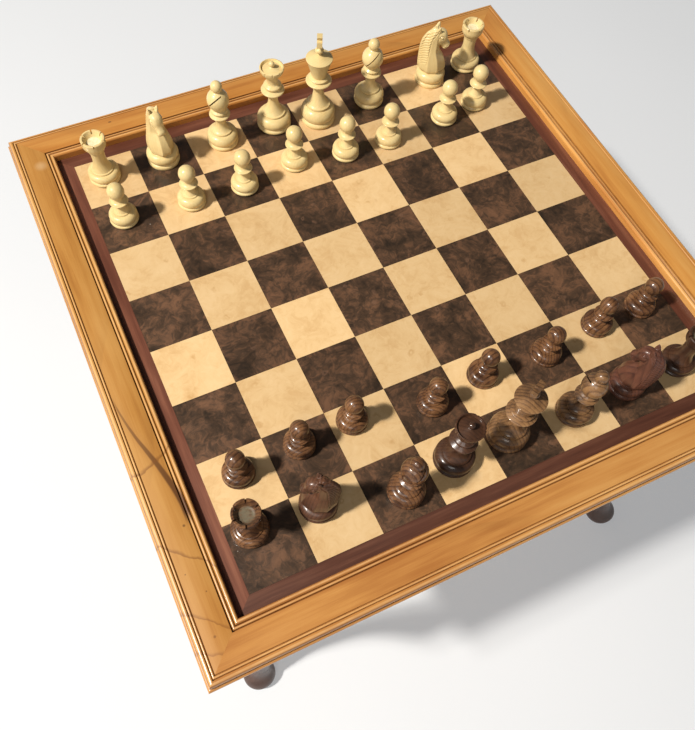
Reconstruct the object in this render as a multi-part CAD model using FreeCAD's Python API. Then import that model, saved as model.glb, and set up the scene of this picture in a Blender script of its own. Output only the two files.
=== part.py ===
import FreeCAD, Part
import math
import os

os.makedirs("parts", exist_ok=True)

# ---- driving dimensions (mm); origin on the floor under the middle of the table, +Z up ----
SQUARE = 57.0
FIELD = 8 * SQUARE / 2            # half side of the playing field
FIELD_Z = 376.0                   # height of the playing surface
RAIL_IN = 13.8                    # lip of the frame, outwards from the field
RABBET = 19.0                     # rabbet wall, outwards from the field
RAIL_DEPTH = 16.0                 # frame below the playing surface
VENEER = 0.6
PANEL = 12.0
TILE_GAP = 0.1

APRON_OUT = FIELD + 30.0          # outer face of the aprons
APRON_THICK = 16.0
APRON_TALL = 36.0
POST = 40.0                       # square top of a leg
POST_MID = 242.0                  # its centre, from the middle of the table
GLIDE = 3.0
PLATE_FACE = 306.8                # inner face of a corner plate, along the diagonal

FELT = 0.8
LIFT = 0.05                       # air under the felt of a chessman
CLEAR = 0.15                      # gap round bolts, screws and keys

UP = FreeCAD.Vector(0, 0, 1)
CORNERS = {"near_left": 180, "near_right": 270, "far_right": 0, "far_left": 90}
SIDES = {"near": 0, "right": 90, "far": 180, "left": 270}


def vec(x, y, z):
    return FreeCAD.Vector(x, y, z)


def turned_to(shape, angle):
    out = shape.copy()
    out.rotate(vec(0, 0, 0), UP, angle)
    return out


def save(name, solids):
    solids = solids if isinstance(solids, list) else [solids]
    shape = solids[0] if len(solids) == 1 else Part.makeCompound(solids)
    shape.exportStep("parts/%s.step" % name)


def outline(start, steps, to3d):
    """Closed face: a step of two numbers is a line, of four an arc through its first pair."""
    edges = []
    here = start
    for step in list(steps) + [start]:
        there = step[-2:]
        if len(step) == 2:
            if there != here:
                edges.append(Part.LineSegment(to3d(*here), to3d(*there)).toShape())
        else:
            edges.append(Part.Arc(to3d(*here), to3d(*step[:2]), to3d(*there)).toShape())
        here = there
    return Part.Face(Part.Wire(edges))


def revolved(start, steps):
    face = outline(start, steps, lambda r, z: vec(r, 0, z))
    return face.revolve(vec(0, 0, 0), UP, 360)


def box(x0, x1, y0, y1, z0, z1):
    return Part.makeBox(x1 - x0, y1 - y0, z1 - z0, vec(x0, y0, z0))


def prism(points, z0, z1):
    wire = Part.makePolygon([vec(x, y, z0) for x, y in points + points[:1]])
    return Part.Face(wire).extrude(vec(0, 0, z1 - z0))


# ---------------------------------------------------------------- table top

def key_at(corner, grow):
    """Flat key set across a mitre, in the middle of the corner."""
    d = FIELD + 33.0
    half_long = 15.0 + grow
    half_deep = 7.0 + grow
    half_thick = 1.5 + grow
    key = box(-half_deep, half_deep, -half_long, half_long, -half_thick, half_thick)
    key.rotate(vec(0, 0, 0), UP, 45)
    key.translate(vec(d, d, FIELD_Z - 8.0))
    return turned_to(key, CORNERS[corner])


def frame_rail(side):
    """Moulded rail: lip, two beads, wide band, quirk, round edge and lower lip."""
    z = FIELD_Z
    moulding = [
        (RABBET, z + 0.1), (RAIL_IN, z + 0.1), (RAIL_IN, z + 5.0),
        (15.7, z + 7.2, 17.7, z + 5.4), (18.0, z + 4.4), (18.3, z + 4.6),
        (19.4, z + 6.8, 20.5, z + 5.2), (20.8, z + 4.3), (21.2, z + 4.4), (21.5, z + 6.8),
        (32.3, z + 7.5, 43.2, z + 6.9), (43.5, z + 5.6), (43.9, z + 5.6),
        (44.9, z + 6.9, 45.8, z + 5.6), (46.1, z + 4.7), (46.4, z + 4.8), (46.6, z + 6.4),
        (49.7, z + 5.4, 50.7, z + 2.5), (50.7, z + 0.8), (49.8, z + 0.1), (50.0, z - 0.7),
        (52.7, z - 2.8, 50.1, z - 5.1), (49.4, z - 5.7), (48.8, z - RAIL_DEPTH)]
    face = outline((RABBET, z - RAIL_DEPTH), moulding, lambda d, h: vec(0, -FIELD - d, h))
    far = FIELD + 60.0
    rail = face.extrude(vec(2 * far, 0, 0))
    rail.translate(vec(-far, 0, 0))
    rail = rail.common(prism([(0, 0), (-far, -far), (far, -far)], 0, z + 20))
    for corner in CORNERS:
        rail = rail.cut(turned_to(key_at(corner, CLEAR), -SIDES[side]))
    for x in (-130.0, 130.0):
        rail = rail.cut(apron_screw(x, CLEAR))
    return turned_to(rail, SIDES[side])


def border_strip(side):
    edge = FIELD + TILE_GAP
    out = FIELD + RABBET - CLEAR
    strip = prism([(-edge, -edge), (-out, -out), (out, -out), (edge, -edge)],
                  FIELD_Z - VENEER, FIELD_Z)
    return turned_to(strip, SIDES[side])


def tiles(parity):
    out = []
    half = (SQUARE - TILE_GAP) / 2
    for col in range(8):
        for row in range(8):
            if (col + row) % 2 == parity:
                x = (col - 3.5) * SQUARE
                y = (row - 3.5) * SQUARE
                out.append(box(x - half, x + half, y - half, y + half,
                               FIELD_Z - VENEER, FIELD_Z))
    return out


def plate(top, thick):
    out = FIELD + RABBET - CLEAR
    return box(-out, out, -out, out, top - thick, top)


# ---------------------------------------------------------------- legs and aprons

def rounded_square(mid, half, corner, z):
    """Section of a leg, centred on the diagonal of its corner."""
    a = half
    b = half - corner
    k = half - corner * (1 - math.sqrt(0.5))
    edges = []
    for turn in range(4):
        c = math.cos(turn * math.pi / 2)
        s = math.sin(turn * math.pi / 2)

        def at(x, y):
            return vec(mid + c * x - s * y, mid + s * x + c * y, z)
        edges.append(Part.LineSegment(at(a, -b), at(a, b)).toShape())
        edges.append(Part.Arc(at(a, b), at(k, k), at(b, a)).toShape())
    return Part.Wire(edges)


def leg(corner):
    """Cabriole leg: pad foot, thin ankle set inwards, knee pushed outwards, square post."""
    # height, centre on both axes, half width, roundness
    curve = [(GLIDE, 252, 15.5, 0.96), (6, 252, 18.6, 0.96), (11, 252, 19.6, 0.96),
             (17, 251, 17.6, 0.95), (24, 249, 13.6, 0.93), (40, 246, 11.2, 0.9),
             (70, 241, 10.2, 0.88), (110, 238, 10.4, 0.85), (150, 237, 11.6, 0.8),
             (190, 238, 13.6, 0.72), (230, 242, 16.2, 0.62), (262, 246, 18.6, 0.5),
             (286, 249, 20.2, 0.4), (304, 249, 20.8, 0.3), (320, 245, 20.4, 0.15),
             (332, POST_MID, POST / 2, 0.05)]
    sections = [rounded_square(c, w, w * q, z) for z, c, w, q in curve]
    lower = Part.makeLoft(sections, True, False)
    half = POST / 2
    top = FIELD_Z - RAIL_DEPTH
    post = box(POST_MID - half, POST_MID + half, POST_MID - half, POST_MID + half, 332.0, top)
    post = post.makeChamfer(0.3, [e for e in post.Edges if abs(e.tangentAt(0).z) > 0.9])
    knee = prism([(215, 227), (227, 215), (215, 215)], 300.0, top)
    whole = lower.fuse(post).cut(knee).removeSplitter()
    hole = bolt_rod(CLEAR)
    return turned_to(whole.cut(hole), CORNERS[corner])


def bolt_rod(grow):
    """Hanger bolt through the inner corner of a leg, along the diagonal."""
    mid = POST_MID + 4.0
    return Part.makeCylinder(3.0 + grow, 52.0 + grow, vec(mid, mid, 342.0), vec(-1, -1, 0))


def apron(side):
    inner = APRON_OUT - APRON_THICK
    ends = POST_MID - POST / 2 - 0.1
    top = FIELD_Z - RAIL_DEPTH
    board = box(-ends, ends, -APRON_OUT, -inner, top - APRON_TALL, top)
    low = [e for e in board.Edges if abs(e.CenterOfMass.z - (top - APRON_TALL)) < 0.1
           and abs(e.CenterOfMass.y + APRON_OUT) < 0.1]
    board = board.makeFillet(2.5, low)
    for x in (-130.0, 130.0):
        board = board.cut(apron_screw(x, CLEAR))
    for z in (335.0, 349.0):
        screw = turned_to(plate_screw(True, z, CLEAR), 180)
        board = board.cut(screw).cut(screw.mirror(vec(0, 0, 0), vec(1, 0, 0)))
    return turned_to(board, SIDES[side])


def apron_screw(x, grow):
    """Screw from below, head sunk in the apron and shank up into the frame."""
    low = FIELD_Z - RAIL_DEPTH - APRON_TALL
    mid = -(APRON_OUT - APRON_THICK / 2)
    head = Part.makeCylinder(4.0 + grow, 3.0, vec(x, mid, low + 12.0), UP)
    shank = Part.makeCylinder(2.0 + grow, 32.0 + grow, vec(x, mid, low + 14.0), UP)
    if grow:
        head = Part.makeCylinder(4.0 + grow, 16.0, vec(x, mid, low - 1.0), UP)
    return head.fuse(shank)


def corner_plate(corner):
    """Bent steel plate from apron to apron, with a hole for the hanger bolt."""
    t = 2.0
    a = APRON_OUT - APRON_THICK - 0.1
    points = [(a, 176), (a, 195), (195, a), (176, a), (176, a - t), (194, a - t),
              (a - t, 194), (a - t, 176)]
    bent = prism(points, 328.0, 356.0)
    bent = bent.cut(bolt_rod(0.3))
    for z in (335.0, 349.0):
        for flip in (False, True):
            bent = bent.cut(plate_screw(flip, z, CLEAR, False))
    return turned_to(bent, CORNERS[corner])


def plate_screw(flip, z, grow, whole=True):
    """Short screw through a wing of the plate into the apron."""
    start = APRON_OUT - APRON_THICK - 4.0
    run = vec(1, 0, 0)
    at = vec(start, 184.0, z)
    if flip:
        run = vec(0, 1, 0)
        at = vec(184.0, start, z)
    shank = Part.makeCylinder(1.6 + grow, 14.0 + grow, at, run)
    if not whole:
        return shank
    head = Part.makeCone(2.4, 3.4, 1.7, at, run)
    return head.fuse(shank)


def hanger_nut(corner):
    """Hex nut on the inner end of the bolt."""
    bore = bolt_rod(CLEAR)
    hexagon = Part.makePolygon([vec(5.8 * math.cos(math.radians(a)),
                                    5.8 * math.sin(math.radians(a)), 0)
                                for a in range(0, 361, 60)])
    nut = Part.Face(hexagon).extrude(vec(0, 0, 5.0))
    nut.rotate(vec(0, 0, 0), vec(0, 1, 0), 90)
    nut.translate(vec(PLATE_FACE - 6.5, 0, 342.0))
    nut.rotate(vec(0, 0, 0), UP, 45)
    return turned_to(nut.cut(bore), CORNERS[corner])


def hanger_washer(corner):
    ring = Part.makeCylinder(9.0, 1.2, vec(0, 0, 0), vec(1, 0, 0))
    ring.translate(vec(PLATE_FACE - 1.3, 0, 342.0))
    ring.rotate(vec(0, 0, 0), UP, 45)
    return turned_to(ring.cut(bolt_rod(CLEAR)), CORNERS[corner])


def glide(corner):
    disc = revolved((0, 0), [(11.5, 0), (12.8, 0.5, 13.2, 1.6), (13.2, GLIDE), (0, GLIDE)])
    disc.translate(vec(252, 252, 0))
    return turned_to(disc, CORNERS[corner])


# ---------------------------------------------------------------- chessmen (standing at z = 0)

def stem(steps, foot, bore, high):
    """Turned body with a bored foot, the weight in the bore and the felt under it."""
    body = revolved((0, FELT), [(foot - 0.9, FELT)] + steps)
    body = body.cut(Part.makeCylinder(bore, high, vec(0, 0, FELT), UP))
    weight = Part.makeCylinder(bore - 0.2, high - 0.8, vec(0, 0, FELT + 0.3), UP)
    felt = Part.makeCylinder(foot - 1.2, FELT - 0.05, vec(0, 0, 0), UP)
    return [body, weight, felt]


def ball(mid, radius, low):
    """Last steps of an outline: a round head on a neck of radius low, up to the axis."""
    return [(low, mid - math.sqrt(radius * radius - low * low)), (radius, mid, 0, mid + radius)]


def pawn(drop):
    steps = [(13.7, 2.2, 12.9, 3.8), (12.4, 4.4), (13.2, 8.6, 7.5, 12.3), (7.9, 12.7),
             (7.6, 13.4), (6.4, 13.8), (4.4, 17.8 - drop / 2, 4.0, 21.4 - drop),
             (5.4, 23.4 - drop, 8.3, 24.8 - drop), (8.8, 25.3 - drop, 8.3, 25.9 - drop),
             (5.6, 27.0 - drop, 4.6, 29.8 - drop)] + ball(37.2 - drop, 7.9, 4.6)
    return stem(steps, 13.6, 6.0, 9.0)


def rook():
    """Turned tower with a flared head, a sloping cup in it and six cuts in the rim."""
    steps = [(15.3, 2.2, 14.5, 4.0), (13.9, 4.7), (15.1, 8.3, 10.4, 11.7), (10.9, 12.1),
             (10.6, 13.0), (9.6, 13.4), (7.1, 20.0, 6.5, 28.0), (6.7, 34.4), (7.7, 35.0),
             (7.9, 36.2), (8.6, 37.6), (10.7, 40.8, 11.2, 43.4), (11.3, 47.9), (10.8, 48.5),
             (9.3, 48.5), (6.6, 43.8), (5.0, 43.4), (0, 43.2)]
    parts = stem(steps, 15.2, 7.5, 10.0)
    for turn in range(6):
        slot = box(5.0, 14.0, -0.65, 0.65, 45.6, 50.0)
        parts[0] = parts[0].cut(turned_to(slot, 60 * turn))
    return parts


def bishop():
    steps = [(15.6, 2.3, 14.8, 4.2), (14.1, 5.1), (15.4, 10.0, 9.6, 14.9), (10.4, 15.4),
             (10.2, 16.4), (9.0, 16.9), (6.0, 20.6, 5.2, 26.0), (6.4, 31.0, 9.5, 33.6),
             (10.2, 34.3, 9.7, 35.1), (7.4, 36.4), (7.2, 37.4), (8.4, 38.3, 8.0, 39.5),
             (6.6, 40.8), (6.4, 42.2), (10.6, 50.6, 4.8, 60.0), (4.2, 60.6)] + ball(64.9, 5.6, 4.1)
    parts = stem(steps, 15.5, 7.5, 12.0)
    slit = box(-12.0, 12.0, -12.0, -1.0, -0.6, 0.6)
    slit.rotate(vec(0, 0, 0), vec(0, 1, 0), -50)
    slit.translate(vec(2.0, 0, 53.0))
    parts[0] = parts[0].cut(slit)
    return parts


def queen():
    steps = [(17.2, 2.4, 16.4, 4.3), (15.6, 5.2), (16.9, 10.6, 11.0, 16.0), (11.9, 16.6),
             (11.7, 17.7), (10.3, 18.2), (6.4, 24.6, 4.8, 34.0), (6.6, 38.8, 10.8, 41.6),
             (11.6, 42.4, 11.0, 43.3), (8.0, 45.0), (7.8, 46.2), (8.9, 47.3, 8.2, 48.9),
             (6.0, 50.4), (5.6, 51.8), (6.4, 57.2, 8.8, 61.2), (10.2, 62.0),
             (11.5, 64.4, 11.8, 67.2), (10.7, 67.6), (9.7, 65.2), (6.0, 66.4, 2.4, 67.6),
             (1.9, 68.0)] + ball(70.4, 2.8, 1.8)
    parts = stem(steps, 17.1, 8.5, 12.0)
    for turn in range(10):
        notch = Part.makeCylinder(1.1, 7.0, vec(12.3, 0, 62.4), UP)
        parts[0] = parts[0].cut(turned_to(notch, 36 * turn))
    return parts


def king():
    steps = [(17.7, 2.6, 16.9, 4.8), (15.8, 6.0), (17.3, 12.4, 11.4, 18.9), (12.4, 19.5),
             (12.2, 20.9), (10.9, 21.4), (6.8, 28.0, 5.2, 38.0), (7.2, 43.0, 12.0, 45.8),
             (12.9, 46.7, 12.3, 47.6), (9.2, 48.9), (9.2, 49.7), (10.2, 50.5, 9.7, 51.3),
             (5.6, 52.6), (5.0, 53.8), (6.2, 61.0, 9.3, 67.8), (10.4, 69.4, 12.6, 70.3),
             (13.0, 70.8, 12.7, 71.3), (7.6, 73.9, 2.8, 76.4), (0, 76.6)]
    parts = stem(steps, 17.6, 8.5, 13.0)
    parts[0] = parts[0].cut(Part.makeCylinder(1.7, 6.1, vec(0, 0, 70.6), UP))
    return parts + [finial()]


def finial():
    """Small cross on a ball, with a pin into the head of the king."""
    ball = revolved((0, 70.8), [(1.5, 70.8), (1.5, 76.75), (2.6, 77.4), (3.4, 79.4, 2.4, 81.4),
                                (1.8, 82.0), (0, 82.4)])
    arms = [(-1.6, 81.4), (1.6, 81.4), (1.3, 85.4), (2.0, 86.6), (4.9, 85.8), (4.9, 90.4),
            (2.0, 89.6), (1.4, 90.8), (2.7, 94.0), (-2.7, 94.0), (-1.4, 90.8), (-2.0, 89.6),
            (-4.9, 90.4), (-4.9, 85.8), (-2.0, 86.6), (-1.3, 85.4)]
    cross = outline(arms[0], arms[1:], lambda x, z: vec(x, -2.1, z)).extrude(vec(0, 4.2, 0))
    return ball.fuse(cross)


def knight():
    """Turned foot with a carved head, facing +X."""
    steps = [(15.7, 2.3, 14.9, 4.2), (14.2, 5.1), (15.5, 9.8, 11.4, 14.6), (0, 14.6)]
    parts = stem(steps, 15.6, 7.5, 11.0)
    side = outline((-12.0, 14.7), [
        (11.6, 14.7), (13.6, 18.6), (12.4, 25.6, 8.4, 31.2), (3.4, 36.2), (0.2, 38.8),
        (1.0, 40.0), (6.6, 37.2), (10.0, 36.4), (12.4, 38.2, 13.0, 41.4), (12.4, 44.6),
        (7.4, 51.0), (5.2, 56.6), (4.0, 58.2), (2.0, 64.0), (-1.4, 59.2), (-5.4, 61.6),
        (-12.6, 58.0, -15.3, 48.0), (-16.0, 37.0, -14.4, 25.0), (-14.4, 19.0)],
        lambda x, z: vec(x, -14.0, z)).extrude(vec(0, 28.0, 0))
    front = outline((-10.4, 14.7), [
        (10.4, 14.7), (12.0, 19.0), (11.4, 26.0), (8.4, 35.0), (6.4, 44.0), (5.4, 54.0),
        (5.6, 64.5), (3.0, 64.5), (0, 57.6), (-3.0, 64.5), (-5.6, 64.5), (-5.4, 54.0),
        (-6.4, 44.0), (-8.4, 35.0), (-11.4, 26.0), (-12.0, 19.0)],
        lambda y, z: vec(-20.0, y, z)).extrude(vec(40.0, 0, 0))
    facets = prism([(13.7, -5.4), (13.7, 5.4), (5.0, 12.2), (-8.0, 12.2), (-16.4, 5.0),
                    (-16.4, -5.0), (-8.0, -12.2), (5.0, -12.2)], 14.0, 37.0)
    upper = box(-20.0, 20.0, -14.0, 14.0, 37.0, 70.0)
    head = side.common(front).common(facets.fuse(upper))
    mouth = box(6.5, 18.0, -8.0, 8.0, -0.5, 0.5)
    mouth.rotate(vec(9, 0, 0), vec(0, 1, 0), 10)
    mouth.translate(vec(0, 0, 39.6))
    head = head.cut(mouth)
    for flip in (1, -1):
        eye = Part.makeSphere(1.4, vec(3.2, flip * 6.3, 52.4))
        nostril = Part.makeSphere(0.8, vec(11.2, flip * 7.0, 42.6))
        head = head.cut(eye).cut(nostril)
        for step in range(6):
            line = box(-18.0, -9.0, -0.35, 0.35, 0, 1.4)
            line.rotate(vec(0, 0, 0), vec(1, 0, 0), 90 if flip > 0 else -90)
            line.rotate(vec(-9.0, 0, 0), vec(0, 1, 0), 18)
            line.translate(vec(0, flip * (5.5 + 0.36 * (6 - step)), 31.0 + 4.8 * step))
            head = head.cut(line)
    return parts + [head]


MEN = {"pawn": pawn, "rook": rook, "knight": knight, "bishop": bishop, "queen": queen,
       "king": king}

# file from the left, kind, shift from the middle of the square in x and y, turn
FAR_ROW = [(0, "rook", -4, 5, 20), (1, "knight", -1, 5, 278), (2, "bishop", 5, 5, 22),
           (3, "queen", 5, 7, 0), (4, "king", -7, -3, 64), (5, "bishop", -3, 1, 28),
           (6, "knight", 15, 4, 340), (7, "rook", 5, 9, 35)]
FAR_PAWNS = [(-3, 5), (6, 0), (3, -2), (3, 7), (-1, -1), (-10, -2), (2, 4), (-15, 11)]
NEAR_ROW = [(0, "rook", -9, 17, 10), (1, "knight", -9, 14, 155), (2, "bishop", 3, -5, 40),
            (3, "queen", -5, 4, 0), (4, "king", -10, 5, 27), (5, "bishop", -3, 0, 200),
            (6, "knight", -3, 3, 115), (7, "rook", -5, 3, 40)]
NEAR_PAWNS = [(0, 7), (-2, 10), (-10, 12), (3, -1), (-1, 5), (5, 1), (7, 8), (-1, 9)]


def stand(name, solids, col, row, dx, dy, turn):
    x = (col - 3.5) * SQUARE + dx
    y = (row - 3.5) * SQUARE + dy
    placed = []
    for solid in solids:
        item = turned_to(solid, turn)
        item.translate(vec(x, y, FIELD_Z + LIFT))
        placed.append(item)
    save(name, placed)


def chessmen():
    letters = "abcdefgh"
    rows = [("light", 7, 6, FAR_ROW, FAR_PAWNS, 0.0), ("dark", 0, 1, NEAR_ROW, NEAR_PAWNS, 3.6)]
    for tone, back, front, row, pawns, drop in rows:
        for col, kind, dx, dy, turn in row:
            name = "%s_%s_%s" % (tone, kind, letters[col])
            stand(name, MEN[kind](), col, back, dx, dy, turn)
        for col, (dx, dy) in enumerate(pawns):
            stand("%s_pawn_%s" % (tone, letters[col]), pawn(drop), col, front, dx, dy, 0)


def table():
    for side in SIDES:
        save("frame_rail_" + side, frame_rail(side))
        save("border_strip_" + side, border_strip(side))
        save("apron_" + side, apron(side))
    for corner in CORNERS:
        save("leg_" + corner, leg(corner))
    save("dark_squares", tiles(0))
    save("light_squares", tiles(1))
    save("panel_core", plate(FIELD_Z - VENEER, PANEL))
    save("backing_veneer", plate(FIELD_Z - VENEER - PANEL, VENEER))
    save("mitre_keys", [key_at(c, 0) for c in CORNERS])
    save("corner_plates", [corner_plate(c) for c in CORNERS])
    save("hanger_bolts", [turned_to(bolt_rod(0), CORNERS[c]) for c in CORNERS])
    save("hanger_nuts", [hanger_nut(c) for c in CORNERS])
    save("hanger_washers", [hanger_washer(c) for c in CORNERS])
    save("leg_glides", [glide(c) for c in CORNERS])
    save("plate_screws", [turned_to(plate_screw(flip, z, 0), CORNERS[c])
                          for c in CORNERS for flip in (False, True) for z in (335.0, 349.0)])
    save("apron_screws", [turned_to(apron_screw(x, 0), SIDES[s])
                          for s in SIDES for x in (-130.0, 130.0)])


chessmen()
table()
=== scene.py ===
import math
import random

import bmesh
import bpy
from mathutils import Euler, Matrix, Vector


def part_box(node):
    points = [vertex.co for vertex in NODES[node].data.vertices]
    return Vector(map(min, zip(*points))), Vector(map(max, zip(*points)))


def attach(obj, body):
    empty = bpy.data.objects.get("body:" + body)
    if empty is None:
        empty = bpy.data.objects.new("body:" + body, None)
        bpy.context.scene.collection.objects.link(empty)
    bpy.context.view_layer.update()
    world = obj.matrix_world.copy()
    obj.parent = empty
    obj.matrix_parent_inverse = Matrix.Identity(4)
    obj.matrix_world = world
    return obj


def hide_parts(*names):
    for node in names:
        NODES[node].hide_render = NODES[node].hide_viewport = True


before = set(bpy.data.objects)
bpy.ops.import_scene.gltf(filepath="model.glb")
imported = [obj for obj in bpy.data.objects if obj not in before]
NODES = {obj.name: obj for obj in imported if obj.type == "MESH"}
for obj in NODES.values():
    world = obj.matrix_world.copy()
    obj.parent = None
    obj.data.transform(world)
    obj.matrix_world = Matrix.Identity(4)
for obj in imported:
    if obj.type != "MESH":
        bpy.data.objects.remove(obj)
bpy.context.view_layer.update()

MM = 0.001
IN_MM = (1000, 1000, 1000)        # scale from object coordinates, in metres, to mm
FELT_TOP = 0.81 * MM              # just above the felt, from the underside of a man
SQUARE = 57 * MM
HALF_FIELD = 4 * SQUARE
MEN = sorted(n for n in NODES if n.startswith(("light_", "dark_")) and not n.endswith("squares"))

scene = bpy.context.scene
scene.view_settings.view_transform = "Standard"
scene.view_settings.look = "None"


# ---------------------------------------------------------------- node shorthand

class Shader:
    """One material's node tree. Its calls return output sockets."""

    def __init__(self, name, rough=0.4, coat=0.0, coat_rough=0.15, specular=0.5):
        self.mat = bpy.data.materials.new(name)
        self.mat.use_nodes = True
        self.tree = self.mat.node_tree
        self.bsdf = self.tree.nodes["Principled BSDF"]
        self.bsdf.inputs["Roughness"].default_value = rough
        self.bsdf.inputs["Coat Weight"].default_value = coat
        self.bsdf.inputs["Coat Roughness"].default_value = coat_rough
        self.bsdf.inputs["Specular IOR Level"].default_value = specular

    def put(self, socket, value):
        if isinstance(value, bpy.types.NodeSocket):
            self.tree.links.new(value, socket)
        elif socket.type == "RGBA":
            socket.default_value = (*value, 1)
        else:
            socket.default_value = value

    def add(self, kind, inputs, **settings):
        node = self.tree.nodes.new("ShaderNode" + kind)
        for key, value in settings.items():
            setattr(node, key, value)
        for key, value in inputs.items():
            self.put(node.inputs[key], value)
        return node

    def at(self, scale=(1, 1, 1), move=(0, 0, 0), turn=(0, 0, 0)):
        """Object coordinates in metres: scaled, turned, then moved."""
        here = self.add("TexCoord", {}).outputs["Object"]
        ports = {"Vector": here, "Scale": scale, "Location": move, "Rotation": turn}
        return self.add("Mapping", ports).outputs[0]

    def scaled(self, vector, scale):
        return self.add("VectorMath", {0: vector, 1: scale}, operation="MULTIPLY").outputs[0]

    def noise(self, vector, scale, detail=3.0, rough=0.5, warp=0.0, colour=False):
        ports = {"Vector": vector, "Scale": scale, "Detail": detail, "Roughness": rough, "Distortion": warp}
        node = self.add("TexNoise", ports)
        return node.outputs["Color"] if colour else node.outputs[0]

    def warped(self, vector, amount, scale, detail=2.0):
        """The vector pushed about by noise, by up to about half of amount."""
        push = self.noise(vector, scale, detail, colour=True)
        push = self.add("VectorMath", {0: push, 1: (-0.5, -0.5, -0.5)}, operation="ADD").outputs[0]
        push = self.add("VectorMath", {0: push, "Scale": amount}, operation="SCALE").outputs[0]
        return self.add("VectorMath", {0: vector, 1: push}, operation="ADD").outputs[0]

    def cells(self, vector, scale):
        return self.add("TexVoronoi", {"Vector": vector, "Scale": scale}).outputs["Distance"]

    def split(self, vector):
        return self.add("SeparateXYZ", {0: vector}).outputs

    def join(self, x, y, z):
        return self.add("CombineXYZ", {0: x, 1: y, 2: z}).outputs[0]

    def calc(self, operation, a, b=0.0, clamp=False):
        return self.add("Math", {0: a, 1: b}, operation=operation, use_clamp=clamp).outputs[0]

    def plus(self, a, b):
        return self.calc("ADD", a, b)

    def minus(self, a, b, clamp=False):
        return self.calc("SUBTRACT", a, b, clamp)

    def times(self, a, b):
        return self.calc("MULTIPLY", a, b)

    def distance(self, a, b):
        return self.add("VectorMath", {0: a, 1: b}, operation="DISTANCE").outputs["Value"]

    def band(self, value, low, high, start=0.0, end=1.0):
        """Smooth step from start at low to end at high."""
        ports = {0: value, 1: low, 2: high, 3: start, 4: end}
        return self.add("MapRange", ports, interpolation_type="SMOOTHSTEP").outputs[0]

    def ramp(self, value, stops):
        node = self.add("ValToRGB", {0: value})
        keys = node.color_ramp.elements
        for at, colour in stops[:-2]:
            keys.new(at)
        for key, (at, colour) in zip(keys, stops):
            key.position = at
            key.color = (*colour, 1) if isinstance(colour, tuple) else (colour, colour, colour, 1)
        return node.outputs[0]

    def mix(self, share, a, b, way="MIX"):
        node = self.add("Mix", {}, data_type="RGBA", blend_type=way)
        self.put(node.inputs[0], share)
        self.put(node.inputs[6], a)
        self.put(node.inputs[7], b)
        return node.outputs[2]

    def bump(self, height, strength, depth):
        ports = {"Height": height, "Strength": strength, "Distance": depth}
        self.put(self.bsdf.inputs["Normal"], self.add("Bump", ports).outputs[0])

    def finish(self, colour, rough=None):
        self.put(self.bsdf.inputs["Base Color"], colour)
        if rough is not None:
            self.put(self.bsdf.inputs["Roughness"], rough)
        return self.mat


def dress(node, *materials):
    """Gives a CAD node its materials."""
    slots = NODES[node].data.materials
    slots.clear()
    for mat in materials:
        slots.append(mat)


# ---------------------------------------------------------------- woods

def turned_wood(name, seed, tones, ring, rings_show, patchy, pores, rough, coat):
    """Wood of one chessman: growth rings seen end-on at the top and as lines down the sides."""
    s = Shader("wood_" + name, rough, coat, 0.1, 0.32)
    pick = random.Random(seed)
    around = pick.uniform(0, 2 * math.pi)
    off = pick.uniform(0.02, 0.05)
    lo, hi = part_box(name)
    middle = (lo + hi) / 2
    move = (off * math.cos(around) - middle.x, off * math.sin(around) - middle.y, pick.uniform(0, 9))
    here = s.at(move=move, turn=(pick.uniform(-.06, .06), pick.uniform(-.06, .06), 0))
    bent = s.warped(s.scaled(here, (1, 1, 0.25)), 0.005, 45)
    x, y = s.split(bent)[:2]
    radius = s.calc("SQRT", s.plus(s.times(x, x), s.times(y, y)))
    rings = s.calc("FRACT", s.calc("DIVIDE", radius, ring * pick.uniform(0.8, 1.3)))
    late = s.ramp(rings, [(0, 0.15), (0.55, 0.35), (0.88, 1.0), (1, 0.2)])
    patch = s.noise(s.scaled(bent, (1, 1, 0.5)), 70, 4, 0.62)
    fibre = s.noise(s.scaled(here, (1, 1, 0.04)), 1400, 3, 0.6)
    value = s.plus(s.times(late, rings_show), s.times(patch, patchy))
    value = s.plus(value, s.times(s.minus(fibre, 0.5), 0.35))
    colour = s.ramp(value, tones)
    specks = s.band(s.noise(s.scaled(here, (1, 1, 0.07)), 2300, 2, 0.5), 0.62, 0.72)
    shade = s.minus(1.0, s.times(specks, pores))
    colour = s.mix(1.0, colour, s.join(shade, shade, shade), "MULTIPLY")
    if "rook" in name:
        foot = (middle.x, middle.y, lo.z)
        u, v, up = s.split(s.at(IN_MM, tuple(-1000 * c for c in foot)))
        reach = s.calc("SQRT", s.plus(s.times(u, u), s.times(v, v)))
        # Painted light: the floor of a rook's cup is painted paler, in uneven patches, where light falls into
        # it.
        painted_cup_light = s.times(s.band(reach, 7.5, 5.0), s.band(up, 42.5, 43.0))
        painted_cup_light = s.times(painted_cup_light, s.band(s.noise(here, 350, 3, 0.6), 0.30, 0.60, 0.35, 0.9))
        colour = s.mix(painted_cup_light, colour, (0.90, 0.80, 0.55) if "light" in name else (0.17, 0.145, 0.095))
    worn = s.band(s.noise(here, 90, 4, 0.6), 0.35, 0.75, rough - 0.06, rough + 0.12)
    s.bump(s.plus(fibre, s.times(specks, -0.8)), 0.25, 0.00006)
    return s.finish(colour, worn)


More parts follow.
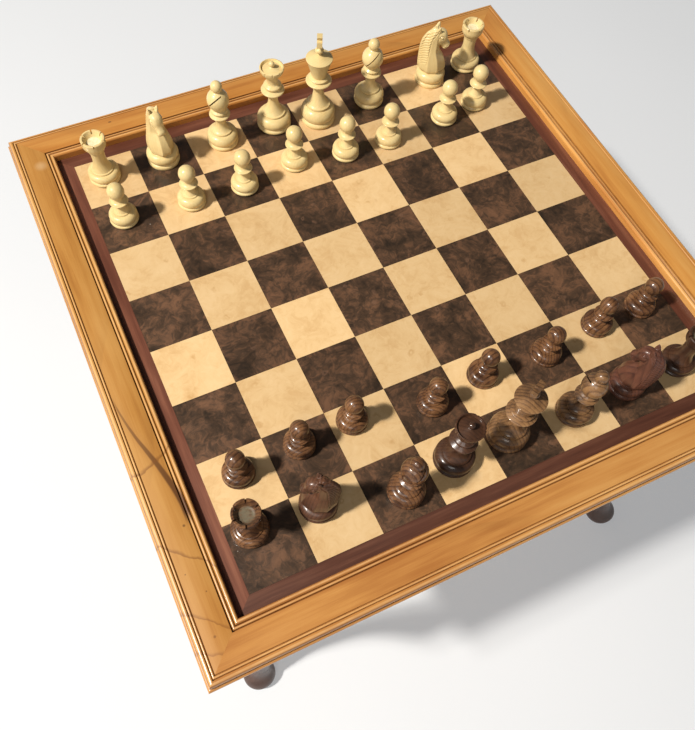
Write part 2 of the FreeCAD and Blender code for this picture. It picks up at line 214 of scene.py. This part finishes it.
BOXWOOD = [(0.15, (0.82, 0.66, 0.34)), (0.45, (0.76, 0.58, 0.27)), (0.75, (0.67, 0.48, 0.20)),
           (1.0, (0.54, 0.36, 0.13))]
ROSEWOOD = [(0.2, (0.34, 0.165, 0.070)), (0.5, (0.20, 0.092, 0.038)), (0.72, (0.072, 0.031, 0.015)),
            (1.0, (0.022, 0.011, 0.008))]
DARK_ROSEWOOD = [(0.2, (0.140, 0.064, 0.032)), (0.5, (0.072, 0.032, 0.017)), (1.0, (0.020, 0.010, 0.007))]
DARK_RED_ROSEWOOD = [(0.2, (0.21, 0.098, 0.050)), (0.5, (0.115, 0.050, 0.027)), (1.0, (0.025, 0.012, 0.008))]
OLIVE_ROSEWOOD = [(0.2, (0.40, 0.225, 0.095)), (0.5, (0.25, 0.130, 0.055)), (0.72, (0.11, 0.057, 0.028)),
                  (1.0, (0.035, 0.019, 0.012))]
RED_ROSEWOOD = [(0.2, (0.23, 0.095, 0.052)), (0.5, (0.140, 0.054, 0.032)), (0.8, (0.070, 0.028, 0.019)),
                (1.0, (0.030, 0.014, 0.010))]


def burl(name, deep, mid, pale, spots, size, contrast, rough, coat):
    """Burl veneer cut square by square, so that figure and tone change from one to the next."""
    s = Shader(name, rough, coat, 0.18)
    here = s.at(move=(HALF_FIELD, HALF_FIELD, 0))
    x, y = s.split(here)[:2]
    cell_x = s.calc("FLOOR", s.calc("DIVIDE", x, SQUARE))
    cell_y = s.calc("FLOOR", s.calc("DIVIDE", y, SQUARE))
    cell = s.join(cell_x, cell_y, 3.7)
    chance = s.add("TexWhiteNoise", {"Vector": cell}, noise_dimensions="3D")
    jump = s.add("VectorMath", {0: chance.outputs["Color"], "Scale": 2.0}, operation="SCALE").outputs[0]
    there = s.add("VectorMath", {0: here, 1: jump}, operation="ADD").outputs[0]
    swirl = s.warped(there, 0.030, 24, 2)
    swirl = s.warped(swirl, 0.010, 90, 2)
    cloud = s.noise(swirl, 32 * size, 5, 0.62)
    curl = s.noise(swirl, 150 * size, 6, 0.68, 0.8)
    value = s.plus(s.times(cloud, 0.55), s.times(curl, 0.45))
    value = s.band(value, 0.5 - contrast, 0.5 + contrast)
    colour = s.ramp(value, [(0.0, deep), (0.5, mid), (1.0, pale)])
    eyes = s.cells(s.warped(there, 0.006, 200), 62 * size)
    rim = s.times(s.band(eyes, 0.05, 0.13), s.band(eyes, 0.26, 0.15))
    few = s.band(s.noise(there, 45, 2, 0.5), 0.50, 0.62)
    colour = s.mix(s.times(s.times(rim, few), 0.45), colour, spots)
    if name == "walnut_burl":
        dot = s.band(s.cells(here, 48), 0.026, 0.016)
        dot = s.times(dot, s.band(s.noise(here, 31, 1, 0.5), 0.62, 0.66))
        colour = s.mix(s.times(dot, 0.8), colour, (0.55, 0.50, 0.44))
    tint = s.split(chance.outputs["Color"])[1]
    tone = s.band(tint, 0.0, 1.0, 0.90, 1.08)
    colour = s.mix(1.0, colour, s.join(tone, tone, tone), "MULTIPLY")
    fine = s.noise(there, 900, 3, 0.6)
    s.bump(s.plus(fine, curl), 0.12, 0.00005)
    return s.finish(colour, s.band(cloud, 0.3, 0.7, rough - 0.05, rough + 0.08))


def board_wood(name, along, tones, streaks, figure, rough, coat, seed, grooves=None, extra=None):
    """Sawn wood with its grain along one axis of the table (0 is x, 1 is y)."""
    s = Shader(name, rough, coat, 0.16)
    turn = (0, 0, 0 if along == 0 else math.pi / 2)
    here = s.at(turn=turn, move=(seed * 1.7, seed * 0.31, seed * 0.13))
    bent = s.warped(s.scaled(here, (0.22, 1, 1)), 0.012, 9, 3)
    lines = s.noise(s.scaled(bent, (0.25, 1, 1)), 170, 4, 0.62)
    broad = s.noise(bent, 22, 3, 0.55)
    fibre = s.noise(s.scaled(here, (0.02, 1, 1)), 1300, 3, 0.6)
    value = s.plus(s.times(lines, streaks), s.times(broad, 1 - streaks))
    value = s.band(s.plus(value, s.times(s.minus(fibre, 0.5), 0.14)), 0.28, 0.72)
    colour = s.ramp(value, tones)
    if figure:
        x, y = s.split(s.warped(s.scaled(here, (0.55, 1, 1)), 0.045, 11, 3))[:2]
        rise = s.plus(s.times(x, 17.0), s.times(y, 26.0))
        saw = s.calc("FRACT", rise)
        line = s.ramp(saw, [(0, 0.0), (0.72, 0.0), (0.97, 1.0), (1, 0.0)])
        where = s.band(s.noise(s.scaled(here, (0.4, 1, 1)), 14, 2, 0.5), 0.42, 0.60)
        colour = s.mix(s.times(s.times(line, where), figure), colour, (0.20, 0.085, 0.022))
        knots = s.cells(s.scaled(here, (0.6, 1, 1)), 55)
        dot = s.band(knots, 0.07, 0.035)
        rare = s.band(s.noise(here, 30, 1, 0.5), 0.60, 0.66)
        colour = s.mix(s.times(s.times(dot, rare), 0.7), colour, (0.09, 0.045, 0.02))
    if grooves:
        colour = grooves(s, colour)
    if extra:
        colour = extra(s, colour)
    s.bump(s.plus(fibre, s.times(lines, 0.6)), 0.2, 0.00008)
    return s.finish(colour, s.band(broad, 0.3, 0.7, rough - 0.05, rough + 0.1))


def plain_finish(name, colour, other, scale, rough, metal=0.0, grain=0.00003):
    """Metal, plastic or core board: two close tones in a fine mottle."""
    s = Shader(name, rough)
    s.bsdf.inputs["Metallic"].default_value = metal
    here = s.at()
    speck = s.noise(here, scale, 4, 0.6)
    s.bump(speck, 0.3, grain)
    mottle = s.ramp(speck, [(0.35, colour), (0.65, other)])
    return s.finish(mottle, s.band(speck, 0.3, 0.7, rough - .06, rough + .1))


# Painted light: one set of cherry tones for each side of the table, each lighter or darker by how the light
# falls on that side.
CHERRY_PAINTED_LIGHT_BY_SIDE = {
    "left": [(0.0, (0.33, 0.130, 0.026)), (0.45, (0.46, 0.212, 0.048)), (1.0, (0.56, 0.29, 0.080))],
    "near": [(0.0, (0.39, 0.150, 0.038)), (0.45, (0.54, 0.245, 0.066)), (1.0, (0.65, 0.34, 0.105))],
    "right": [(0.0, (0.47, 0.180, 0.040)), (0.45, (0.66, 0.300, 0.070)), (1.0, (0.76, 0.40, 0.115))],
    "far": [(0.0, (0.34, 0.120, 0.024)), (0.45, (0.50, 0.205, 0.044)), (1.0, (0.62, 0.30, 0.075))]}
# Painted light: one set of mahogany tones for each border strip, each lighter or darker by how the light
# falls on that side.
MAHOGANY_PAINTED_LIGHT_BY_SIDE = {
    "left": [(0.0, (0.115, 0.038, 0.022)), (0.5, (0.185, 0.066, 0.038)), (1.0, (0.29, 0.115, 0.066))],
    "right": [(0.0, (0.085, 0.026, 0.015)), (0.5, (0.140, 0.046, 0.026)), (1.0, (0.22, 0.085, 0.048))],
    "near": [(0.0, (0.060, 0.021, 0.013)), (0.5, (0.098, 0.036, 0.021)), (1.0, (0.165, 0.068, 0.040))],
    "far": [(0.0, (0.075, 0.023, 0.013)), (0.5, (0.120, 0.040, 0.023)), (1.0, (0.20, 0.075, 0.043))]}
STAIN = [(0.0, (0.052, 0.027, 0.020)), (0.5, (0.080, 0.042, 0.031)), (1.0, (0.115, 0.062, 0.044))]


def moulding_lines(s, colour):
    """Painted shade in the quirks of the moulding, partly stain left there, and painted highlights on the
    crowns of its beads, partly paler worn lacquer.
    """
    x, y = s.split(s.at(IN_MM))[:2]
    out = s.minus(s.calc("MAXIMUM", s.calc("ABSOLUTE", x), s.calc("ABSOLUTE", y)), HALF_FIELD / MM)
    wear_and_painted_light = s.band(s.noise(s.at(), 60, 3, 0.6), 0.3, 0.7, 0.6, 1.0)
    # Painted shade along the quirks, partly stain gathered there.
    for centre, width, share in ((18.2, 0.8, 0.62), (21.1, 0.8, 0.66), (43.7, 0.7, 0.5), (46.2, 0.6, 0.45),
                                 (50.1, 0.8, 0.55)):
        near = s.band(s.calc("ABSOLUTE", s.minus(out, centre)), width, 0.35 * width)
        colour = s.mix(s.times(s.times(near, wear_and_painted_light), share), colour, (0.115, 0.030, 0.008))
    # Painted highlights along the crowns of the beads, partly paler worn lacquer.
    for centre, width in ((15.7, 1.1), (19.5, 0.8), (45.0, 0.8), (48.6, 1.2)):
        near = s.band(s.calc("ABSOLUTE", s.minus(out, centre)), width, 0.3 * width)
        colour = s.mix(s.times(s.times(near, wear_and_painted_light), 0.5), colour, (0.92, 0.56, 0.24))
    return colour


def left_rail_marks(s, colour):
    """A slanting mineral streak, three figure lines, a few knots and a pale spot."""
    x, y = s.split(s.at(IN_MM))[:2]
    drift = s.times(s.minus(s.noise(s.at(), 45, 3, 0.55), 0.5), 16.0)
    run = s.band(y, -32.0, -152.0)
    middle = s.plus(-270.8, s.times(run, 22.5))
    middle = s.plus(middle, s.times(drift, 0.06))
    away = s.calc("ABSOLUTE", s.minus(x, middle))
    width = s.plus(0.9, s.times(run, 2.9))
    core = s.minus(1.0, s.calc("DIVIDE", away, width), clamp=True)
    ends = s.times(s.band(y, -30.0, -48.0), s.band(y, -163.0, -148.0))
    deep = s.plus(0.55, s.times(run, 0.45))
    share = s.times(s.times(s.band(core, 0.0, 0.55), ends), deep)
    colour = s.mix(share, colour, (0.055, 0.020, 0.009))
    flank = s.times(s.band(away, 7.0, 1.0), ends)
    colour = s.mix(s.times(flank, 0.22), colour, (0.34, 0.14, 0.035))
    for start, slope, curl in ((-106.0, -0.15, 0.020), (-173.0, -0.62, -0.012), (-226.0, -0.75, -0.010),
                               (-258.0, -0.55, 0.006)):
        inward = s.plus(x, 271.0)
        line = s.plus(start, s.times(inward, slope))
        line = s.plus(line, s.times(s.times(inward, inward), curl))
        off = s.minus(y, s.plus(line, drift))
        edge = s.times(s.band(off, -0.9, 0.0), s.band(off, 3.5, 0.0))
        colour = s.mix(s.times(edge, 0.62), colour, (0.19, 0.070, 0.016))
    knots = ((-254.0, -160.0, 1.6), (-262.0, -247.0, 1.5), (-256.0, -214.0, 0.9), (-266.0, -196.0, 0.8))
    for cx, cy, size in knots:
        gap = s.distance(s.join(x, y, 0.0), (cx, cy, 0))
        colour = s.mix(s.times(s.band(gap, size, 0.3 * size), 0.65), colour, (0.07, 0.03, 0.012))
    gap = s.distance(s.join(x, y, 0.0), (-257, 234, 0))
    colour = s.mix(s.times(s.band(gap, 8.0, 1.0), 0.4), colour, (0.72, 0.50, 0.27))
    warm = s.band(y, -185.0, -270.0)
    return s.mix(s.times(warm, 0.30), colour, (0.48, 0.19, 0.045))


def right_rail_marks(s, colour):
    """An old chip on the outer edge, painted near-black inside a wider, darker reddish patch."""
    x, y = s.split(s.at(IN_MM))[:2]
    rag = s.times(s.minus(s.noise(s.at(), 400, 3, 0.6), 0.5), 2.5)
    gap = s.calc("ABSOLUTE", s.minus(y, s.plus(73.0, s.times(rag, 1.5))))
    depth = s.plus(x, rag)
    chip = s.times(s.band(gap, 7.5, 4.5), s.band(depth, 275.8, 277.2))
    chip_surround = s.times(s.band(gap, 22.0, 6.0), s.band(depth, 268.0, 277.0))
    colour = s.mix(s.times(chip_surround, 0.35), colour, (0.50, 0.17, 0.06))
    return s.mix(s.times(chip, 0.9), colour, (0.050, 0.022, 0.012))


def paint_table():
    for side, along in (("near", 0), ("far", 0), ("left", 1), ("right", 1)):
        seed = {"near": 1, "far": 2, "left": 3, "right": 4}[side]
        # The rails and aprons take the painted light of their side with these tones.
        tones = CHERRY_PAINTED_LIGHT_BY_SIDE[side]
        marks = {"left": left_rail_marks, "right": right_rail_marks}.get(side)
        figure = 0.15 if side == "left" else 0.3
        dress("frame_rail_" + side,
              board_wood("rail_" + side, along, tones, 0.35, figure, 0.30, 0.35, seed, moulding_lines, marks))
        dress("apron_" + side, board_wood("apron_" + side, along, tones, 0.45, 0.0, 0.42, 0.15, seed + 9))
        # The border strips take the painted light of their side with these tones.
        dress("border_strip_" + side,
              board_wood("border_" + side, along, MAHOGANY_PAINTED_LIGHT_BY_SIDE[side], 0.6, 0.0, 0.36, 0.12, seed + 5))
    maple = burl("maple_burl", (0.62, 0.38, 0.165), (0.74, 0.50, 0.245), (0.80, 0.565, 0.30),
                 (0.50, 0.27, 0.09), 1.0, 0.26, 0.38, 0.12)
    walnut = burl("walnut_burl", (0.027, 0.018, 0.012), (0.072, 0.040, 0.023), (0.17, 0.082, 0.042),
                  (0.19, 0.10, 0.060), 1.3, 0.17, 0.36, 0.14)
    dress("light_squares", maple)
    dress("dark_squares", walnut)
    for corner in ("near_left", "near_right", "far_right", "far_left"):
        mat = board_wood("stain_" + corner, 0, STAIN, 0.5, 0.0, 0.36, 0.2, len(corner))
        dress("leg_" + corner, mat)
    dress("panel_core", plain_finish("core_board", (0.36, 0.27, 0.17), (0.44, 0.34, 0.23), 500, 0.8))
    dress("backing_veneer", board_wood("backing", 0, [(0, (0.44, 0.31, 0.18)), (1, (0.56, 0.42, 0.27))],
                                       0.5, 0.0, 0.6, 0.0, 7))
    dress("mitre_keys", plain_finish("beech", (0.55, 0.38, 0.24), (0.62, 0.46, 0.31), 400, 0.6))
    dress("leg_glides", plain_finish("nylon", (0.62, 0.61, 0.58), (0.70, 0.69, 0.66), 300, 0.5))
    steel = plain_finish("zinc_steel", (0.50, 0.50, 0.50), (0.66, 0.66, 0.64), 700, 0.35, 1.0)
    for node in ("corner_plates", "hanger_bolts", "hanger_nuts", "hanger_washers",
                 "plate_screws", "apron_screws"):
        dress(node, steel)


SPECIAL = {"dark_queen_d": DARK_ROSEWOOD, "dark_rook_h": DARK_ROSEWOOD, "dark_king_e": OLIVE_ROSEWOOD,
           "dark_bishop_f": OLIVE_ROSEWOOD, "dark_knight_g": RED_ROSEWOOD, "dark_knight_b": DARK_RED_ROSEWOOD}


def man_wood(name):
    seed = 100 + MEN.index(name)
    if name.startswith("light"):
        return turned_wood(name, seed, BOXWOOD, 0.0022, 0.12, 0.85, 0.06, 0.34, 0.15)
    gloss = 0.12 if "knight" in name else 0.4
    return turned_wood(name, seed, SPECIAL.get(name, ROSEWOOD), 0.0030, 0.25, 1.0, 0.45, 0.34, gloss)


def paint_men(felt):
    for name in MEN:
        dress(name, man_wood(name), felt)
        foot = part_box(name)[0].z
        for face in NODES[name].data.polygons:
            if face.center.z < foot + FELT_TOP:
                face.material_index = 1


# ---------------------------------------------------------------- carved knights

TURNS = {"light_knight_b": 278, "light_knight_g": 340, "dark_knight_b": 155, "dark_knight_g": 115}

# height, front, half-width of the front facet, side, back, half-width of the back facet
NECK = [(14.2, 10.6, 4.2, 10.2, -10.6, 4.0), (16.0, 12.8, 4.4, 11.3, -13.0, 4.4),
        (18.4, 13.7, 4.4, 11.8, -14.6, 4.6), (22.0, 13.1, 4.1, 11.6, -14.9, 4.3),
        (26.0, 11.8, 3.7, 11.0, -14.9, 3.8), (30.0, 9.7, 3.2, 10.0, -15.1, 3.2),
        (34.0, 6.9, 2.8, 8.9, -15.3, 2.6), (37.5, 4.4, 2.6, 7.9, -15.4, 2.2),
        (42.0, 4.0, 2.4, 7.0, -15.0, 1.9), (47.0, 4.2, 2.2, 6.3, -13.9, 1.7),
        (52.0, 3.9, 2.2, 5.8, -11.6, 1.6), (56.0, 2.6, 2.0, 5.3, -8.6, 1.6),
        (59.0, 0.6, 1.6, 4.2, -5.6, 1.5), (60.6, -0.8, 1.0, 2.6, -3.6, 1.0)]

# along the head from poll to lips: forward, height, half-depth, half-width
HEAD = [(-1.5, 57.0, 3.4, 3.6), (0.6, 54.6, 6.2, 5.2), (2.8, 52.0, 7.6, 5.9), (5.2, 49.0, 6.9, 5.6),
        (7.4, 46.2, 5.2, 4.4), (9.2, 43.9, 4.6, 4.0), (10.7, 41.9, 4.5, 4.3), (11.8, 40.4, 3.6, 3.7),
        (12.4, 39.5, 2.0, 2.2)]


def tube(bm, rings):
    """Closed skin over rings that all have the same number of points."""
    rows = [[bm.verts.new(Vector(p) * MM) for p in ring] for ring in rings]
    count = len(rows[0])
    for low, high in zip(rows, rows[1:]):
        for i in range(count):
            j = (i + 1) % count
            bm.faces.new((low[i], low[j], high[j], high[i]))
    bm.faces.new(reversed(rows[0]))
    bm.faces.new(rows[-1])


def between(rows, steps):
    """Rows of numbers with smooth steps put in between them."""
    out = []
    last = len(rows) - 1
    for i in range(last):
        a, b, c, d = rows[max(i - 1, 0)], rows[i], rows[i + 1], rows[min(i + 2, last)]
        for k in range(steps):
            t = k / steps
            out.append(tuple(0.5 * (2 * q + (r - p) * t + (2 * p - 5 * q + 4 * r - w) * t * t
                                    + (3 * q - p - 3 * r + w) * t ** 3) for p, q, r, w in zip(a, b, c, d)))
    return out + [rows[-1]]


def neck_ring(row):
    z, front, narrow, side, back, tail = row
    middle = 0.42 * front + 0.12 * back
    behind = 0.55 * back + 0.1 * front
    half = [(front, narrow), (middle, side), (behind, side * 0.97), (back, tail)]
    corners = half + [(x, -y) for x, y in reversed(half)]
    ring = []
    for (x0, y0), (x1, y1) in zip(corners, corners[1:] + corners[:1]):
        for k in range(8):
            t = k / 8
            ring.append((x0 + (x1 - x0) * t, y0 + (y1 - y0) * t, z))
    limit = 11.0 + 3.9 * math.sin(min(1.0, max(0.0, (z - 14.2) / 4.6)) * math.pi / 2) + max(0.0, z - 20)
    return [(x, y, z) if math.hypot(x, y) < limit else
            (x * limit / math.hypot(x, y), y * limit / math.hypot(x, y), z) for x, y, z in ring]


def head_ring(row, way):
    x, z, deep, wide = row
    ring = []
    for k in range(40):
        a = 2 * math.pi * k / 40
        c, n = math.cos(a), math.sin(a)
        u = deep * math.copysign(abs(c) ** 0.8, c)
        v = wide * math.copysign(abs(n) ** 0.8, n)
        ring.append((x + u * way[1], v, z - u * way[0]))
    return ring


def cone(bm, foot, tip, radius, flat):
    """An ear or lock: round at the foot, drawn out to a blunt tip."""
    foot, tip = Vector(foot), Vector(tip)
    along = (tip - foot).normalized()
    across = along.cross(Vector((0, 1, 0))).normalized()
    beside = along.cross(across)
    rings = []
    for t, width in ((0, 1.0), (0.3, 1.05), (0.55, 0.85), (0.8, 0.5), (0.95, 0.22), (1, 0.08)):
        middle = foot.lerp(tip, t)
        ring = []
        for k in range(16):
            a = 2 * math.pi * k / 16
            point = middle + across * (radius * width * math.cos(a))
            ring.append(tuple(point + beside * (flat * width * math.sin(a))))
        rings.append(ring)
    tube(bm, rings)


def near_line(x, z, points):
    """Distance in the side view from a point to a line of points."""
    best = 99.0
    for (x0, z0), (x1, z1) in zip(points, points[1:]):
        dx, dz = x1 - x0, z1 - z0
        t = max(0.0, min(1.0, ((x - x0) * dx + (z - z0) * dz) / (dx * dx + dz * dz)))
        best = min(best, math.hypot(x - x0 - t * dx, z - z0 - t * dz))
    return best


MOUTH = [(13.6, 40.6), (11.0, 39.9), (8.2, 40.9), (7.0, 42.0)]
CHEEK = [(3.6, 42.6), (1.2, 45.4), (0.6, 49.0), (1.8, 52.6)]


def carve(x, y, z):
    """How far the chisel goes in, in mm, at a point of the head or neck."""
    deep = 0.0
    side = abs(y)
    if z > 37 and x > 5.5:
        deep = max(deep, 0.75 * (1 - near_line(x, z, MOUTH) / 0.7))
        deep = max(deep, 0.8 * (1 - math.hypot(x - 11.9, z - 43.0) / 1.1))
    if z > 40:
        deep = max(deep, 0.5 * (1 - near_line(x, z, CHEEK) / 0.8))
        ring = math.hypot(x - 4.6, (z - 52.6) * 1.25)
        deep = max(deep, 0.75 * (1 - abs(ring - 1.9) / 0.6))
    edge = -7.8 + 0.12 * (z - 30) + max(0.0, z - 50) * 0.55
    if x < edge and side > 1.2 and 24 < z < 61:
        wave = (z - 0.55 * (x + 8) - 0.4 * math.sin(0.9 * x)) / 2.5
        deep = max(deep, 0.55 * max(0.0, 1 - abs(wave - round(wave)) / 0.22))
    if 24 < z < 58 and side > 1.2:
        deep = max(deep, 0.6 * (1 - abs(x - edge) / 0.55))
    return deep


def carved_head():
    """Neck, head, ears and mane as one skin, in metres, facing +X over the origin."""
    bm = bmesh.new()
    tube(bm, [neck_ring(row) for row in between(NECK, 5)])
    way = Vector((HEAD[-1][0] - HEAD[0][0], HEAD[-1][1] - HEAD[0][1])).normalized()
    tube(bm, [head_ring(row, way) for row in between(HEAD, 4)])
    for side in (1, -1):
        cone(bm, (-0.8, side * 3.3, 56.0), (1.5, side * 4.7, 63.9), 2.7, 1.6)
    cone(bm, (0.8, 0, 57.0), (5.4, 0, 57.6), 2.0, 1.5)
    mane = [(-3.0, 59.5, 1.6), (-6.6, 58.3, 1.8), (-11.0, 53.8, 1.9), (-13.8, 47.6, 2.0), (-14.9, 41.0, 2.1),
            (-15.1, 34.0, 2.2), (-14.9, 27.0, 2.2), (-14.6, 21.0, 2.0), (-13.6, 17.6, 1.0)]
    tube(bm, [[(x + 1.5 * math.cos(a), wide * math.sin(a), z + 1.5 * math.cos(a) * (0.5 if z > 50 else 0))
               for a in (2 * math.pi * k / 12 for k in range(12))] for x, z, wide in between(mane, 4)])
    for side in (1, -1):
        bmesh.ops.create_icosphere(bm, subdivisions=3, radius=1.25 * MM,
                                   matrix=Matrix.Translation(Vector((4.6, side * 5.05, 52.6)) * MM))
    mesh = bpy.data.meshes.new("carving")
    bm.to_mesh(mesh)
    bm.free()
    rough = bpy.data.objects.new("carving", mesh)
    scene.collection.objects.link(rough)
    skin = rough.modifiers.new("skin", "REMESH")
    skin.mode = "VOXEL"
    skin.voxel_size = 0.36 * MM
    done = bpy.data.meshes.new_from_object(rough.evaluated_get(bpy.context.evaluated_depsgraph_get()))
    bpy.data.objects.remove(rough)
    bpy.data.meshes.remove(mesh)
    bm = bmesh.new()
    bm.from_mesh(done)
    bpy.data.meshes.remove(done)
    bmesh.ops.smooth_vert(bm, verts=bm.verts, factor=0.5, use_axis_x=True, use_axis_y=True, use_axis_z=True)
    bm.normal_update()
    push = [(v, v.normal * (carve(*(v.co / MM)) * MM)) for v in bm.verts]
    for v, step in push:
        if step.length > 0:
            v.co -= step
    bmesh.ops.smooth_vert(bm, verts=bm.verts, factor=0.3, use_axis_x=True, use_axis_y=True, use_axis_z=True)
    for face in bm.faces:
        face.smooth = True
    return bm


FOOT = [(15.0, 0.0), (15.3, 0.25), (15.3, 0.8), (15.45, 0.85), (15.75, 1.3), (15.85, 2.2), (15.6, 3.2),
        (14.9, 4.1), (14.3, 4.5), (14.15, 5.0), (14.7, 5.8), (15.4, 7.2), (15.7, 8.8), (15.5, 10.6),
        (14.7, 12.3), (13.4, 13.6), (11.8, 14.4), (10.8, 14.7), (10.6, 15.4)]


def stand_for(name, mesh, felt):
    """Puts a finished mesh in the place of one man's CAD node."""
    man = bpy.data.objects.new(name + "_finished", mesh)
    scene.collection.objects.link(man)
    mesh.materials.clear()
    mesh.materials.append(man_wood(name))
    mesh.materials.append(felt)
    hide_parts(name)
    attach(man, name + "_body")


def centre_of(name):
    """Middle of a man's foot, on the underside of its felt."""
    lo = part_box(name)[0]
    rim = [v.co for v in NODES[name].data.vertices if v.co.z < lo.z + 3 * MM]
    x = (min(c.x for c in rim) + max(c.x for c in rim)) / 2
    y = (min(c.y for c in rim) + max(c.y for c in rim)) / 2
    return Vector((x, y, lo.z))


def reshape(name, change, felt):
    """A copy of a man whose points are moved by change, which works in mm about the man's own axis."""
    foot = centre_of(name)
    bm = bmesh.new()
    bm.from_mesh(NODES[name].data)
    bmesh.ops.remove_doubles(bm, verts=bm.verts, dist=0.002 * MM)
    for v in bm.verts:
        v.co = foot + change((v.co - foot) / MM) * MM
    for face in bm.faces:
        face.smooth = True
    mesh = bpy.data.meshes.new(name + "_finished")
    bm.to_mesh(mesh)
    bm.free()
    if "custom_normal" in mesh.attributes:
        mesh.attributes.remove(mesh.attributes["custom_normal"])
    mesh.set_sharp_from_angle(angle=math.radians(32))
    stand_for(name, mesh, felt)


def king_head(p):
    """Head of the king as a straight-sided cone with a low lid."""
    r = math.hypot(p.x, p.y)
    if p.z > 76.8:
        wide = 1.0 + 0.22 * min(1.0, (p.z - 76.8) / 2)
        return Vector((p.x * wide, p.y * wide, p.z))
    if r < 2.0 or p.z < 52.2:
        return p
    if p.z <= 70.35 and r > 3.0:
        to = 7.2 + 5.4 * ((p.z - 52.2) / 18.1) ** 1.15
        return Vector((p.x * to / r, p.y * to / r, p.z))
    if p.z > 71.2:
        return Vector((p.x, p.y, 71.3 + (p.z - 71.3) * 0.62))
    return p


SLITS = {"light_bishop_c": -86, "light_bishop_f": -72, "dark_bishop_c": -70, "dark_bishop_f": -20}


def finish_men(felt):
    for name in ("light_king_e", "dark_king_e"):
        reshape(name, king_head, felt)
    for name, way in SLITS.items():
        foot = centre_of(name)
        cut = [(v.co - foot) / MM for v in NODES[name].data.vertices]
        cut = [p for p in cut if 48.5 < p.z < 57.5 and math.hypot(p.x, p.y) < 6.4]
        now = math.atan2(sum(p.y for p in cut), sum(p.x for p in cut))
        turn = Matrix.Rotation(math.radians(way) - now, 3, "Z")
        reshape(name, lambda p: turn @ p, felt)


def add_knights(felt):
    head = carved_head()
    foot = between(FOOT, 4)
    for name, turn in TURNS.items():
        bm = head.copy()
        count = 120
        around = [2 * math.pi * k / count for k in range(count)]
        rows = [[bm.verts.new((r * MM * math.cos(a), r * MM * math.sin(a), z * MM)) for a in around]
                for r, z in foot]
        for low, high in zip(rows, rows[1:]):
            for i in range(count):
                j = (i + 1) % count
                face = bm.faces.new((low[i], low[j], high[j], high[i]))
                face.smooth = True
                face.material_index = 1 if high[i].co.z < FELT_TOP else 0
        bm.faces.new(reversed(rows[0])).material_index = 1
        bm.faces.new(rows[-1])
        place = Matrix.Translation(centre_of(name)) @ Matrix.Rotation(math.radians(turn), 4, "Z")
        bmesh.ops.transform(bm, matrix=place, verts=bm.verts)
        mesh = bpy.data.meshes.new(name + "_carved")
        bm.to_mesh(mesh)
        bm.free()
        stand_for(name, mesh, felt)
    head.free()


# ---------------------------------------------------------------- camera, light and floor

def add_camera():
    """Camera above and to the left of the near edge, looking down at the board."""
    data = bpy.data.cameras.new("camera")
    data.sensor_width = 36.0
    data.lens = 33.765
    data.shift_x = 0.01979
    data.shift_y = 0.07898
    data.clip_end = 30.0
    cam = bpy.data.objects.new("camera", data)
    cam.location = (-0.22843, -0.32609, 0.90374)
    cam.rotation_euler = Euler([math.radians(a) for a in (23.7147, -2.4285, -24.9379)])
    scene.collection.objects.link(cam)
    scene.camera = cam


def add_lamp(name, way, distance, size, power, colour, aim=(0, 0, 0.38)):
    data = bpy.data.lights.new(name, "AREA")
    data.shape = "DISK"
    data.size = size
    data.energy = power
    data.color = colour
    lamp = bpy.data.objects.new(name, data)
    toward = Vector(way).normalized()
    lamp.location = Vector(aim) + toward * distance
    lamp.rotation_euler = toward.to_track_quat("Z", "Y").to_euler()
    scene.collection.objects.link(lamp)


def add_floor():
    mesh = bpy.data.meshes.new("floor")
    half = 12.0
    corners = [(-half, -half, 0), (half, -half, 0), (half, half, 0), (-half, half, 0)]
    mesh.from_pydata(corners, [], [(0, 1, 2, 3)])
    floor = bpy.data.objects.new("floor", mesh)
    s = Shader("floor", 0.7, specular=0.2)
    tone = s.noise(s.at(), 1.5, 2)
    pale = s.ramp(tone, [(0.3, (0.56, 0.570, 0.583)), (0.7, (0.58, 0.590, 0.603))])
    # The floor glows a little: painted light that lifts the shadows cast on it.
    s.bsdf.inputs["Emission Color"].default_value = (0.95, 0.97, 1.0, 1)
    s.bsdf.inputs["Emission Strength"].default_value = 0.28
    mesh.materials.append(s.finish(pale))
    scene.collection.objects.link(floor)


def add_studio():
    world = bpy.data.worlds.new("studio")
    world.use_nodes = True
    tree = world.node_tree
    back = tree.nodes["Background"]
    way = tree.nodes.new("ShaderNodeTexCoord")
    parts = tree.nodes.new("ShaderNodeSeparateXYZ")
    sky = tree.nodes.new("ShaderNodeValToRGB")
    side = tree.nodes.new("ShaderNodeMapRange")
    for port, value in ((1, -1.0), (2, 1.0), (3, 1.0), (4, 0.30)):
        side.inputs[port].default_value = value
    tree.links.new(way.outputs["Generated"], parts.inputs[0])
    tree.links.new(parts.outputs[2], sky.inputs[0])
    tree.links.new(parts.outputs[0], side.inputs[0])
    tree.links.new(sky.outputs[0], back.inputs["Color"])
    tree.links.new(side.outputs[0], back.inputs["Strength"])
    low, high = sky.color_ramp.elements
    low.position, low.color = 0.05, (0.46, 0.475, 0.49, 1)
    high.position, high.color = 0.80, (0.05, 0.052, 0.055, 1)
    scene.world = world
    add_lamp("key", (-0.86, 0.02, 1.0), 3.8, 0.25, 152, (1.0, 0.957, 0.89))
    add_lamp("key_two", (-0.88, 0.09, 1.0), 3.8, 0.19, 42, (1.0, 0.957, 0.89))
    add_lamp("soft", (-0.55, -0.75, 0.9), 2.4, 1.0, 9, (1.0, 0.98, 0.95))


felt = plain_finish("felt", (0.015, 0.045, 0.025), (0.03, 0.075, 0.04), 2500, 0.95, 0.0, 0.0002)
paint_table()
paint_men(felt)
add_knights(felt)
finish_men(felt)
add_camera()
add_floor()
add_studio()
